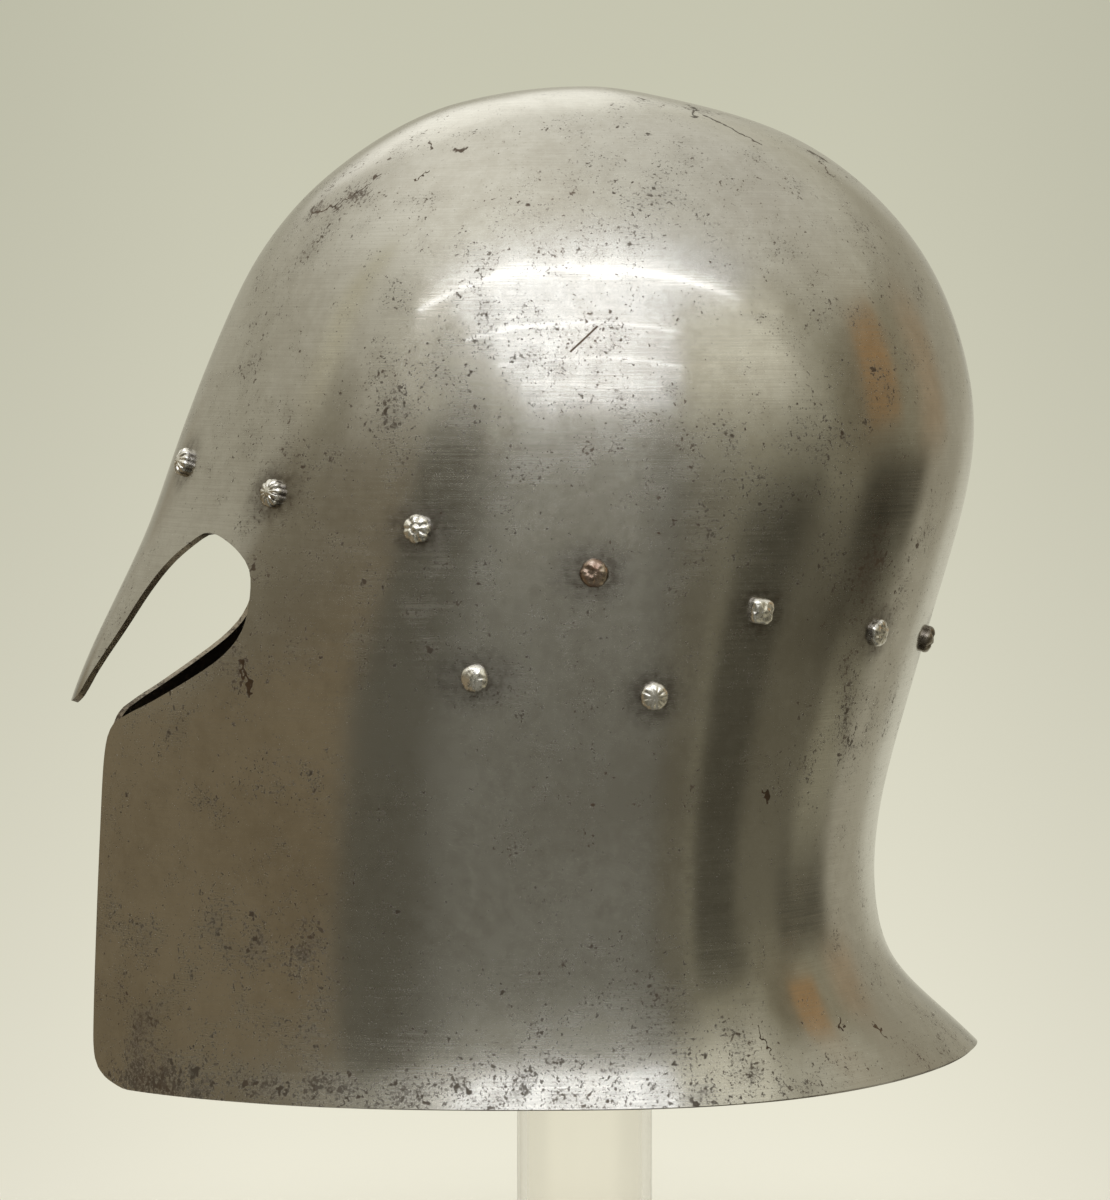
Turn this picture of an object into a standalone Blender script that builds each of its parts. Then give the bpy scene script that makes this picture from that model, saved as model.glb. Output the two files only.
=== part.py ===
"""A barbute, an open-faced steel helmet, on a clear display stand.

Metres, +Z up. The helmet faces -Y, and its left side is +X. The origin is the centre of
the stand's foot, on the surface that it stands on, and the crown lies straight above it.
"""

import math
from typing import NamedTuple

import bmesh
import bpy
import numpy as np
from mathutils import Vector

# The helmet's shell
SHELL_HEIGHT = 0.290  # crown to the rim at the side
RIM_HEIGHT = 0.100  # rim at the side above the surface that the stand is on
FRONT_REACH = 0.153  # stand's axis to the front of the rim, were it closed
BACK_REACH = 0.119  # stand's axis to the tail
HALF_WIDTH = 0.0995
PLATE = 0.002
FRONT_RIM_DIP = 0.005
TAIL_LIFT = 0.0035
RIDGE_SHARPNESS = 24  # how closely the medial ridge keeps to the middle

# The rivets
LINING_HEAD_RADIUS = 0.0042
STRAP_HEAD_RADIUS = 0.0041
HEAD_HEIGHT = 0.0026
HEAD_EDGE = 0.0006
SHANK_RADIUS = 0.0017
HOLE_CLEARANCE = 0.0005  # round the shank
BURR_RADIUS = 0.0030  # the shank's end, hammered flat inside
BURR_THICKNESS = 0.0009
GAP = 0.0003  # between pieces that touch
FACET_DEPTH = 0.0003  # how far the shell's facets can lie inside its curve

# The stand
FOOT_RADIUS = 0.085
FOOT_THICKNESS = 0.012
EDGE_BEVEL = 0.001
SOCKET_DEPTH = 0.004  # of the tube in the foot
TUBE_RADIUS = 0.0203
TUBE_WALL = 0.003
HEAD_PLATE_RADIUS = 0.038
HEAD_PLATE_THICKNESS = 0.008
SPIGOT_LENGTH = 0.012
PAD_THICKNESS = 0.008  # at its edge
PAD_WAY = 0.13  # the pad's edge, as a share of the way from the crown to the rim

# The nasal is set forward between the brow and its tip, over its own width
NASAL_BEND = 0.0045
NASAL_HALF_WIDTH = 0.0095
BROW_WAY = 0.556
NASAL_TIP_WAY = 0.694
CHEEK_TOP_WAY = 0.711

# Facets
SIDE_SEGMENTS = 28  # from the front to the back, on each side
RINGS = 26
EDGE_STEPS = 2  # between two places of the face opening
PAD_SEGMENTS = 32
PAD_RINGS = 4
RIVET_SIDES = 10
DOME_STEPS = 3
STAND_SIDES = 32
WELD = 0.00001
SHORTEST_EDGE = 0.0005  # of the shell's pattern, where the cuts cross its facets


class Section(NamedTuple):
    """One level of the shell. Lengths are shares of the named sizes."""

    drop: float  # below the crown, of SHELL_HEIGHT
    front: float  # of FRONT_REACH
    back: float  # of BACK_REACH
    side: float  # of HALF_WIDTH
    front_keel: float  # 0 is an ellipse in plan, and more is a sharper prow
    back_keel: float
    lift: float  # of FRONT_RIM_DIP and TAIL_LIFT


SECTIONS = (
    Section(0.0000, 0.000, 0.000, 0.000, 0.20, 0.15, 0.00),
    Section(0.0128, 0.216, 0.219, 0.241, 0.20, 0.15, 0.00),
    Section(0.0472, 0.379, 0.500, 0.482, 0.21, 0.15, 0.00),
    Section(0.1041, 0.526, 0.710, 0.693, 0.23, 0.14, 0.00),
    Section(0.1800, 0.642, 0.864, 0.844, 0.25, 0.13, 0.00),
    Section(0.2662, 0.721, 0.952, 0.935, 0.28, 0.12, 0.00),
    Section(0.3559, 0.788, 0.982, 0.983, 0.30, 0.11, 0.00),
    Section(0.4490, 0.851, 0.943, 1.000, 0.32, 0.10, 0.00),
    Section(0.5386, 0.923, 0.880, 0.997, 0.34, 0.10, 0.00),
    Section(0.6283, 0.974, 0.817, 0.981, 0.35, 0.10, 0.00),
    Section(0.7110, 0.984, 0.761, 0.961, 0.35, 0.10, 0.00),
    Section(0.7869, 0.986, 0.734, 0.945, 0.35, 0.11, 0.02),
    Section(0.8490, 0.989, 0.741, 0.937, 0.35, 0.13, 0.12),
    Section(0.9007, 0.992, 0.782, 0.938, 0.35, 0.16, 0.29),
    Section(0.9386, 0.994, 0.852, 0.948, 0.35, 0.19, 0.57),
    Section(0.9731, 0.997, 0.935, 0.969, 0.35, 0.22, 0.86),
    Section(1.0000, 1.000, 1.000, 0.993, 0.35, 0.24, 1.00),
)


class Place(NamedTuple):
    """A place on the shell's left side, which the right side mirrors."""

    bearing: float  # degrees round the stand's axis, 0 at the front and 180 at the back
    way: float  # 0 at the crown and 1 at the rim, along the plate


FACE_OPENING = (
    Place(0.0, NASAL_TIP_WAY),
    Place(5.0, 0.693),
    Place(9.3, 0.686),
    Place(11.6, 0.668),
    Place(14.2, 0.642),
    Place(18.2, 0.606),
    Place(22.6, 0.578),
    Place(27.8, 0.559),
    Place(30.6, 0.5525),
    Place(34.0, 0.5545),
    Place(38.8, 0.565),
    Place(42.3, 0.580),
    Place(43.9, 0.602),
    Place(44.2, 0.627),
    Place(42.0, 0.648),
    Place(37.0, 0.668),
    Place(30.5, 0.687),
    Place(24.5, 0.700),
    Place(20.2, CHEEK_TOP_WAY),
    Place(18.1, 0.735),
    Place(16.5, 0.805),
    Place(15.6, 0.880),
    Place(15.3, 0.950),
    Place(16.4, 0.977),
    Place(19.8, 0.991),
    Place(25.5, 1.001),
    Place(28.0, 1.040),  # past the rim, where the slit is open
)
LINING_RIVETS = (
    Place(16.0, 0.498),
    Place(42.7, 0.520),
    Place(66.1, 0.545),
    Place(88.3, 0.578),
    Place(114.1, 0.609),
    Place(140.5, 0.631),
    Place(167.0, 0.643),
)
STRAP_RIVETS = (
    Place(75.4, 0.659),
    Place(97.4, 0.673),
)


def spline(knots, values):
    """A function through values at knots, smooth to its second derivative."""
    gaps = np.diff(knots)
    slopes = np.diff(values) / gaps
    last = len(knots) - 1
    system = np.eye(last + 1)
    load = np.zeros(last + 1)
    for i in range(1, last):
        system[i, i - 1 : i + 2] = gaps[i - 1], 2 * (gaps[i - 1] + gaps[i]), gaps[i]
        load[i] = 6 * (slopes[i] - slopes[i - 1])
    bends = np.linalg.solve(system, load)

    def value(at):
        i = int(np.clip(np.searchsorted(knots, at) - 1, 0, last - 1))
        gap, left, right = gaps[i], knots[i + 1] - at, at - knots[i]
        curved = (bends[i] * left**3 + bends[i + 1] * right**3) / (6 * gap)
        from_left = (values[i] / gap - bends[i] * gap / 6) * left
        from_right = (values[i + 1] / gap - bends[i + 1] * gap / 6) * right
        return curved + from_left + from_right

    return value


def section_columns():
    """The columns of SECTIONS as smooth functions of the way, and the way's length."""
    rows = np.array(SECTIONS)
    reaches = (rows[:, 1] * FRONT_REACH + rows[:, 2] * BACK_REACH) / 2
    steps = np.hypot(np.diff(rows[:, 0]) * SHELL_HEIGHT, np.diff(reaches))
    lengths = np.concatenate([[0], np.cumsum(steps)])
    ways = lengths / lengths[-1]
    # The knots run over the crown, where the reaches change sign and the rest doesn't.
    knots = np.concatenate([-ways[:0:-1], ways])
    columns = {}
    for i, name in enumerate(Section._fields):
        sign = -1 if name in ("front", "back", "side") else 1
        columns[name] = spline(knots, np.concatenate([sign * rows[:0:-1, i], rows[:, i]]))
    return columns, lengths[-1]


COLUMNS, WAY_LENGTH = section_columns()


def shell_point(way, bearing):
    """A point of the shell's outer surface, with the bearing in radians."""
    level = {name: column(way) for name, column in COLUMNS.items()}
    along, across = math.cos(bearing), math.sin(bearing)
    if along > 0:
        reach, keel, lift = level["front"] * FRONT_REACH, level["front_keel"], -FRONT_RIM_DIP
    else:
        reach, keel, lift = level["back"] * BACK_REACH, level["back_keel"], TAIL_LIFT
    narrowing = keel * (along**4 + along**RIDGE_SHARPNESS / 2)
    x = level["side"] * HALF_WIDTH * across * (1 - narrowing)
    y = -reach * along - (nasal_bend(x, way) if along > 0 else 0)
    z = RIM_HEIGHT + SHELL_HEIGHT * (1 - level["drop"]) + level["lift"] * lift * along**2
    return Vector((x, y, z))


def nasal_bend(x, way):
    """How far the nasal is set forward here. The plates beside it keep their form."""
    if not BROW_WAY < way < CHEEK_TOP_WAY:
        return 0.0
    down = (way - BROW_WAY) / (NASAL_TIP_WAY - BROW_WAY)
    aside = min(max(abs(x) / NASAL_HALF_WIDTH - 1, 0), 1)
    return NASAL_BEND * down**2 * (1 - aside**2 * (3 - 2 * aside))


def surface_slopes(way, bearing):
    """How the outer surface runs for a step on the flat pattern, along its X and its Y."""
    step = 1e-4
    around = shell_point(way, bearing + step) - shell_point(way, bearing - step)
    down = shell_point(way + step, bearing) - shell_point(way - step, bearing)
    return around / (2 * step * HALF_WIDTH), -down / (2 * step * WAY_LENGTH)


def surface_normal(way, bearing):
    """The unit vector out of the shell."""
    across, up = surface_slopes(way, bearing)
    return across.cross(up).normalized()


def flat_place(place, side=1):
    """A place on the flat pattern: X runs round the shell, and Y up from the rim to the crown."""
    return Vector((side * math.radians(place.bearing) * HALF_WIDTH, -place.way * WAY_LENGTH))


def raise_pattern(bm, depth=0.0):
    """Turn a flat pattern into the shell's form, at a depth below the outer surface."""
    for vert in bm.verts:
        way, bearing = -vert.co.y / WAY_LENGTH, vert.co.x / HALF_WIDTH
        raised = shell_point(way, bearing)
        if depth and way > 0:
            raised -= surface_normal(way, bearing) * depth
        elif depth:
            raised.z -= depth
        vert.co = raised
    bmesh.ops.remove_doubles(bm, verts=bm.verts, dist=WELD)


def pattern_grid(bm, segments, rings, way):
    """A flat grid all the way round, from the crown down to a way."""
    bmesh.ops.create_grid(bm, x_segments=segments, y_segments=rings, size=0.5)
    bmesh.ops.translate(bm, verts=bm.verts, vec=(0, -0.5, 0))
    bmesh.ops.scale(bm, verts=bm.verts, vec=(2 * math.pi * HALF_WIDTH, way * WAY_LENGTH, 1))


def smooth_line(places):
    """Points of a curve through flat places, with EDGE_STEPS between two of them."""
    line = []
    for i in range(1, len(places) - 2):
        before, start, end, after = places[i - 1 : i + 3]
        for step in range(EDGE_STEPS):
            t = step / EDGE_STEPS
            swing = (end - before) * t + (2 * before - 5 * start + 4 * end - after) * t**2
            swing += (3 * start - before - 3 * end + after) * t**3
            line.append(start + swing / 2)
    return line + list(places[-2:])


def face_outline():
    """The face opening on the flat pattern, from its right end round the nasal to its left."""
    left = [flat_place(place) for place in FACE_OPENING]
    right = [flat_place(place, side=-1) for place in FACE_OPENING[:0:-1]]
    return [right[0]] + smooth_line(right + left)


def hole_outline(place, side):
    """A rivet's hole on the flat pattern, which is round once the pattern is raised."""
    bearing = side * math.radians(place.bearing)
    across, up = surface_slopes(place.way, bearing)
    slopes = np.array([across, up]).T
    normal = across.cross(up).normalized()
    first = across.normalized()
    second = normal.cross(first)
    radius = (SHANK_RADIUS + HOLE_CLEARANCE) / math.cos(math.pi / RIVET_SIDES)
    outline = []
    for i in range(RIVET_SIDES):
        angle = 2 * math.pi * i / RIVET_SIDES
        offset = (first * math.cos(angle) + second * math.sin(angle)) * radius
        flat = np.linalg.lstsq(slopes, np.array(offset), rcond=None)[0]
        outline.append(flat_place(place, side) + Vector(flat))
    return outline


def new_object(name, mesh, material, collection, parent=None):
    """An object in a collection, with its material and its parent."""
    mesh.materials.clear()
    mesh.materials.append(material)
    thing = bpy.data.objects.new(name, mesh)
    thing.parent = parent
    collection.objects.link(thing)
    return thing


def mesh_of(bm, name):
    """A smooth-shaded mesh of a bmesh, which is freed."""
    mesh = bpy.data.meshes.new(name)
    bm.to_mesh(mesh)
    bm.free()
    mesh.shade_smooth()
    mesh.set_sharp_from_angle(angle=math.radians(35))
    return mesh


def evaluated_mesh(thing):
    """A new mesh of an object as its modifiers leave it."""
    depsgraph = bpy.context.evaluated_depsgraph_get()
    return bpy.data.meshes.new_from_object(thing.evaluated_get(depsgraph))


def pattern_cutter(collection):
    """The face opening and the rivets' holes, as blocks through the flat pattern."""
    outlines = [face_outline()]
    for place in LINING_RIVETS + STRAP_RIVETS:
        outlines += [hole_outline(place, 1), hole_outline(place, -1)]
    curve = bpy.data.curves.new("pattern_cuts", "CURVE")
    curve.dimensions = "2D"
    curve.fill_mode = "BOTH"
    curve.extrude = 2 * PLATE
    for outline in outlines:
        loop = curve.splines.new("POLY")
        loop.points.add(len(outline) - 1)
        for point, place in zip(loop.points, outline):
            point.co = (place.x, place.y, 0, 1)
        loop.use_cyclic_u = True
    flat = bpy.data.objects.new("pattern_cuts", curve)
    collection.objects.link(flat)
    bm = bmesh.new()
    bm.from_mesh(evaluated_mesh(flat))
    bpy.data.objects.remove(flat)
    bmesh.ops.remove_doubles(bm, verts=bm.verts, dist=WELD)
    bmesh.ops.recalc_face_normals(bm, faces=bm.faces)
    cutter = bpy.data.objects.new("pattern_cutter", mesh_of(bm, "pattern_cutter"))
    collection.objects.link(cutter)
    cutter.display_type = "WIRE"
    cutter.hide_render = True
    return cutter


def cut_pattern(collection):
    """The shell's flat pattern, one face deep, with the face and the holes cut out."""
    bm = bmesh.new()
    pattern_grid(bm, 2 * SIDE_SEGMENTS, RINGS, 1.0)
    sheet = bpy.data.objects.new("pattern_sheet", mesh_of(bm, "pattern_sheet"))
    cutter = pattern_cutter(collection)
    collection.objects.link(sheet)
    solidify = sheet.modifiers.new("sheet", "SOLIDIFY")
    solidify.thickness = PLATE
    solidify.offset = 0
    cut = sheet.modifiers.new("cuts", "BOOLEAN")
    cut.operation = "DIFFERENCE"
    cut.object = cutter
    bm = bmesh.new()
    bm.from_mesh(evaluated_mesh(sheet))
    bpy.data.objects.remove(sheet)
    bpy.data.objects.remove(cutter)
    lower = [vert for vert in bm.verts if vert.co.z < 0]
    bmesh.ops.delete(bm, geom=lower, context="VERTS")
    outline = [vert for vert in bm.verts if vert.is_boundary]
    near = bmesh.ops.find_doubles(bm, verts=bm.verts, keep_verts=outline, dist=SHORTEST_EDGE)
    bmesh.ops.weld_verts(bm, targetmap=near["targetmap"])
    bmesh.ops.triangulate(bm, faces=[face for face in bm.faces if len(face.verts) > 4])
    return bm


def make_shell(collection, material, parent):
    """The steel shell: its flat pattern is cut, raised and given the plate's thickness."""
    bm = cut_pattern(collection)
    raise_pattern(bm)
    shell = new_object("shell", mesh_of(bm, "shell"), material, collection, parent)
    plate = shell.modifiers.new("plate", "SOLIDIFY")
    plate.thickness = PLATE
    plate.offset = -1
    plate.use_quality_normals = True


def turned_piece(name, profile, sides, material, collection, parent, closed=False):
    """A profile of radii and heights turned round Z, on its outer side from top to bottom."""
    bm = bmesh.new()
    verts = [bm.verts.new((radius, 0, height)) for radius, height in profile]
    for start, end in zip(verts, verts[1:] + verts[:1] if closed else verts[1:]):
        bm.edges.new((start, end))
    mesh = bpy.data.meshes.new(name)
    bm.to_mesh(mesh)
    bm.free()
    thing = new_object(name, mesh, material, collection, parent)
    turn = thing.modifiers.new("turn", "SCREW")
    turn.steps = turn.render_steps = sides
    turn.use_merge_vertices = True
    turn.merge_threshold = WELD
    return thing


def rivet_profile(head_radius):
    """A domed head, its shank through the plate and the burr inside. The plate is at height 0."""
    dome_foot = GAP + HEAD_EDGE
    profile = []
    for i in range(DOME_STEPS + 1):
        angle = math.pi / 2 * i / DOME_STEPS
        height = dome_foot + (HEAD_HEIGHT - HEAD_EDGE) * math.cos(angle)
        profile.append((head_radius * math.sin(angle), height))
    burr_top = -PLATE - FACET_DEPTH - GAP
    burr_foot = burr_top - BURR_THICKNESS
    profile += [
        (head_radius, GAP),
        (SHANK_RADIUS, GAP),
        (SHANK_RADIUS, burr_top),
        (BURR_RADIUS, burr_top),
        (BURR_RADIUS, burr_foot),
        (0, burr_foot),
    ]
    return profile


def make_rivets(kind, places, head_radius, collection, material, parent):
    """A row of rivets on each side, numbered from the front."""
    profile = rivet_profile(head_radius)
    for side, side_name in ((1, "left"), (-1, "right")):
        for number, place in enumerate(places, start=1):
            name = f"{kind}_{side_name}_{number}"
            bearing = side * math.radians(place.bearing)
            rivet = turned_piece(name, profile, RIVET_SIDES, material, collection, parent)
            rivet.location = shell_point(place.way, bearing)
            rivet.rotation_mode = "QUATERNION"
            rivet.rotation_quaternion = surface_normal(place.way, bearing).to_track_quat("Z", "Y")


def make_pad(collection, material, parent):
    """The pad under the crown, which follows the shell's inside. Returns its underside's height."""
    bm = bmesh.new()
    pattern_grid(bm, PAD_SEGMENTS, PAD_RINGS, PAD_WAY)
    raise_pattern(bm, depth=PLATE + GAP)
    edge = [e for e in bm.edges if e.is_boundary]
    floor = min(vert.co.z for vert in bm.verts) - PAD_THICKNESS
    walls = bmesh.ops.extrude_edge_only(bm, edges=edge)["geom"]
    for vert in walls:
        if isinstance(vert, bmesh.types.BMVert):
            vert.co.z = floor
    bmesh.ops.holes_fill(bm, edges=[e for e in bm.edges if e.is_boundary])
    bmesh.ops.recalc_face_normals(bm, faces=bm.faces)
    new_object("crown_pad", mesh_of(bm, "crown_pad"), material, collection, parent)
    return floor


def make_stand(pad_floor, collection, material, parent):
    """The clear foot, the tube that stands in it, and the plate that the pad lies on."""
    socket = FOOT_THICKNESS - SOCKET_DEPTH
    foot = [
        (0, socket),
        (TUBE_RADIUS + GAP, socket),
        (TUBE_RADIUS + GAP, FOOT_THICKNESS),
        (FOOT_RADIUS - EDGE_BEVEL, FOOT_THICKNESS),
        (FOOT_RADIUS, FOOT_THICKNESS - EDGE_BEVEL),
        (FOOT_RADIUS, EDGE_BEVEL),
        (FOOT_RADIUS - EDGE_BEVEL, 0),
        (0, 0),
    ]
    plate_top = pad_floor - GAP
    plate_foot = plate_top - HEAD_PLATE_THICKNESS
    spigot_radius = TUBE_RADIUS - TUBE_WALL - GAP
    head = [
        (0, plate_top),
        (HEAD_PLATE_RADIUS - EDGE_BEVEL, plate_top),
        (HEAD_PLATE_RADIUS, plate_top - EDGE_BEVEL),
        (HEAD_PLATE_RADIUS, plate_foot + EDGE_BEVEL),
        (HEAD_PLATE_RADIUS - EDGE_BEVEL, plate_foot),
        (spigot_radius, plate_foot),
        (spigot_radius, plate_foot - SPIGOT_LENGTH),
        (0, plate_foot - SPIGOT_LENGTH),
    ]
    tube_top, tube_foot = plate_foot - GAP, socket + GAP
    tube = [
        (TUBE_RADIUS - TUBE_WALL, tube_top),
        (TUBE_RADIUS, tube_top),
        (TUBE_RADIUS, tube_foot),
        (TUBE_RADIUS - TUBE_WALL, tube_foot),
    ]
    turned_piece("stand_base", foot, STAND_SIDES, material, collection, parent)
    turned_piece("stand_head", head, STAND_SIDES, material, collection, parent)
    turned_piece("stand_tube", tube, STAND_SIDES, material, collection, parent, closed=True)


def make_material(name, color, roughness, metallic=0.0, transmission=0.0):
    """A Principled material."""
    material = bpy.data.materials.new(name)
    material.use_nodes = True
    shader = material.node_tree.nodes["Principled BSDF"]
    shader.inputs["Base Color"].default_value = (*color, 1)
    shader.inputs["Roughness"].default_value = roughness
    shader.inputs["Metallic"].default_value = metallic
    shader.inputs["Transmission Weight"].default_value = transmission
    return material


def new_empty(name, collection):
    empty = bpy.data.objects.new(name, None)
    collection.objects.link(empty)
    return empty


def main():
    for thing in list(bpy.data.objects):
        bpy.data.objects.remove(thing)
    collection = bpy.data.collections.new("barbute")
    bpy.context.scene.collection.children.link(collection)
    helmet = new_empty("helmet", collection)
    stand = new_empty("display_stand", collection)
    steel = make_material("steel", (0.33, 0.31, 0.29), 0.30, metallic=1.0)
    rivet_steel = make_material("rivet_steel", (0.42, 0.40, 0.37), 0.35, metallic=1.0)
    acrylic = make_material("clear_acrylic", (0.95, 0.96, 0.96), 0.05, transmission=1.0)
    felt = make_material("pad_felt", (0.08, 0.08, 0.09), 0.95)
    make_shell(collection, steel, helmet)
    rivets = (collection, rivet_steel, helmet)
    make_rivets("lining_rivet", LINING_RIVETS, LINING_HEAD_RADIUS, *rivets)
    make_rivets("strap_rivet", STRAP_RIVETS, STRAP_HEAD_RADIUS, *rivets)
    pad_floor = make_pad(collection, felt, stand)
    make_stand(pad_floor, collection, acrylic, stand)


main()
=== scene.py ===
"""A barbute helmet on its clear display stand, seen from its left side.

Metres, +Z up. The helmet faces -Y, its left side is +X, and the stand's axis is the Z axis.
"""

import math
from typing import NamedTuple

import bmesh
import bpy
import numpy as np
from mathutils import Matrix, Vector, noise


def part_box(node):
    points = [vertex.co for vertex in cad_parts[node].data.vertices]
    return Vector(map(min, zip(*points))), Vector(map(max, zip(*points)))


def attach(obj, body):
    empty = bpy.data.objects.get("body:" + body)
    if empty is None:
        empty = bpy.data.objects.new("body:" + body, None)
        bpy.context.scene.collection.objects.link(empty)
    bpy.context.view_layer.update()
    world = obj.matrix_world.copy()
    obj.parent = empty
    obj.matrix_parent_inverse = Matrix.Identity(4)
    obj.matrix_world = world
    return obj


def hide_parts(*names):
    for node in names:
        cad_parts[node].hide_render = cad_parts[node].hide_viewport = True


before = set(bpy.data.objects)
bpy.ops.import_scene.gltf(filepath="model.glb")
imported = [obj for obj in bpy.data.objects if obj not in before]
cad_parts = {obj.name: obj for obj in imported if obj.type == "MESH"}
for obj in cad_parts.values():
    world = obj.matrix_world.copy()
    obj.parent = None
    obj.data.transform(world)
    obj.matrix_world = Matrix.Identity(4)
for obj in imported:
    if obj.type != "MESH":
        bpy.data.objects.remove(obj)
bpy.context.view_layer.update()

# The helmet's plate
CROWN_HEIGHT = 0.390
SHELL_HEIGHT = 0.290
RIM_HEIGHT = CROWN_HEIGHT - SHELL_HEIGHT
FRONT_REACH = 0.153
BACK_REACH = 0.119
HALF_WIDTH = 0.0995
PATTERN_WIDTH = 2 * math.pi * HALF_WIDTH
PLATE = 0.002
FRONT_RIM_DIP = 0.005
TAIL_LIFT = 0.0035
RIDGE_SHARPNESS = 24
NASAL_BEND = 0.0045
NASAL_HALF_WIDTH = 0.0095
BROW_WAY = 0.556
NASAL_TIP_WAY = 0.694
CHEEK_TOP_WAY = 0.711

# The hammered plate's unevenness, and its worn edges
SWELL = 0.00022
SWELL_LENGTH = 0.055
EDGE_ROUND = 0.00045
# How far the grime and the painted contact shadow round each rivet head reach
GRIME_AND_SHADE_REACH = 0.0038

# The rivets
LINING_HEAD_RADIUS = 0.0042
STRAP_HEAD_RADIUS = 0.0041
HEAD_HEIGHT = 0.0028
HEAD_EDGE = 0.0005
HEAD_SINK = 0.0006
SHANK_RADIUS = 0.0017
BURR_RADIUS = 0.0030
BURR_THICKNESS = 0.0009
HOLE_CLEARANCE = 0.0005

# How a head is struck, in shares of its radius
PETALS_FROM = 0.28
PETALS_FULL = 0.58
BOSS_RING = 0.30
BOSS_WIDTH = 0.09
SQUARE_SIDE = 0.86
SQUARE_CORNER = 1.04

# The stand and its pad
TUBE_RADIUS = 0.0203
TUBE_WALL = 0.003
STAND_EDGE = 0.001
TUBE_EDGE = 0.00035
SPIGOT_LENGTH = 0.012
GAP = 0.0003
PAD_WAY = 0.13
PAD_INSET = 0.99
PAD_EDGE = 0.0008
PAD_BULGE = 0.004
PAD_RINGS = (0.12, 0.5, 0.88, 1.0)

# How finely things are meshed
PLATE_COLUMNS = 264
PLATE_ROWS = 150
OPENING_STEPS = 10
HOLE_SIDES = 16
SNAP_SHARE = 0.35
DOME_RINGS = 14
DOME_SIDES = 56
STAND_SIDES = 128
PAD_COLUMNS = 96
PAD_ROWS = 12
FLOOR_SIDES = 96
WELD = 0.00001


class Section(NamedTuple):
    """One level of the plate. Lengths are shares of the named sizes."""

    drop: float
    front: float
    back: float
    side: float
    front_keel: float
    back_keel: float
    lift: float = 0.0


SECTIONS = (
    Section(0.0000, 0.000, 0.000, 0.000, 0.20, 0.15),
    Section(0.0128, 0.216, 0.219, 0.241, 0.20, 0.15),
    Section(0.0472, 0.379, 0.500, 0.482, 0.21, 0.15),
    Section(0.1041, 0.526, 0.710, 0.693, 0.23, 0.14),
    Section(0.1800, 0.642, 0.864, 0.844, 0.25, 0.13),
    Section(0.2662, 0.721, 0.952, 0.935, 0.28, 0.12),
    Section(0.3559, 0.788, 0.982, 0.983, 0.30, 0.11),
    Section(0.4490, 0.851, 0.943, 1.000, 0.32, 0.10),
    Section(0.5386, 0.923, 0.880, 0.997, 0.34, 0.10),
    Section(0.6283, 0.974, 0.817, 0.981, 0.35, 0.10),
    Section(0.7110, 0.984, 0.761, 0.961, 0.35, 0.10),
    Section(0.7869, 0.986, 0.734, 0.945, 0.35, 0.11, 0.02),
    Section(0.8490, 0.989, 0.741, 0.937, 0.35, 0.13, 0.12),
    Section(0.9007, 0.992, 0.782, 0.938, 0.35, 0.16, 0.29),
    Section(0.9386, 0.994, 0.852, 0.948, 0.35, 0.19, 0.57),
    Section(0.9731, 0.997, 0.935, 0.969, 0.35, 0.22, 0.86),
    Section(1.0000, 1.000, 1.000, 0.993, 0.35, 0.24, 1.00),
)


class Place(NamedTuple):
    """A place on the plate: degrees from the front, and the way from crown to rim."""

    bearing: float
    way: float


FACE_OPENING = (
    Place(0.0, NASAL_TIP_WAY),
    Place(5.0, 0.693),
    Place(9.3, 0.686),
    Place(11.6, 0.668),
    Place(14.2, 0.642),
    Place(18.2, 0.606),
    Place(22.6, 0.578),
    Place(27.8, 0.559),
    Place(30.6, 0.5525),
    Place(34.0, 0.5545),
    Place(38.8, 0.565),
    Place(42.3, 0.580),
    Place(43.9, 0.602),
    Place(44.2, 0.627),
    Place(42.0, 0.648),
    Place(37.0, 0.668),
    Place(30.5, 0.687),
    Place(24.5, 0.700),
    Place(20.2, CHEEK_TOP_WAY),
    Place(18.1, 0.735),
    Place(16.5, 0.805),
    Place(15.6, 0.880),
    Place(15.3, 0.950),
    Place(16.4, 0.977),
    Place(19.8, 0.9905),
    Place(25.0, 0.9985),
    Place(29.5, 1.005),
    Place(32.0, 1.040),
)


class Rivet(NamedTuple):
    """A rivet's place, and how its head was struck: petals, their depth, and its wear."""

    bearing: float
    way: float
    petals: int
    groove: float
    boss: float
    squareness: float
    dents: float
    finish: str = "bright"


LINING_RIVETS = (
    Rivet(16.0, 0.498, 11, 0.34, 0.10, 0.00, 0.02),
    Rivet(42.7, 0.520, 11, 0.32, 0.10, 0.00, 0.02),
    Rivet(66.1, 0.545, 7, 0.26, 0.30, 0.00, 0.05),
    Rivet(88.3, 0.578, 3, 0.10, 0.00, 0.05, 0.10, "rusty"),
    Rivet(114.1, 0.609, 4, 0.08, 0.00, 0.70, 0.08),
    Rivet(140.5, 0.631, 5, 0.12, 0.00, 0.30, 0.10),
    Rivet(167.0, 0.643, 4, 0.30, 0.12, 0.20, 0.06, "dark"),
)
STRAP_RIVETS = (
    Rivet(75.4, 0.659, 6, 0.05, 0.00, 0.30, 0.05),
    Rivet(97.4, 0.673, 9, 0.11, 0.00, 0.05, 0.04),
)


class Patch(NamedTuple):
    """A patch of the plate: where, how far it reaches round and down in metres, how strongly."""

    bearing: float
    way: float
    round: float
    down: float
    strength: float


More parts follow.
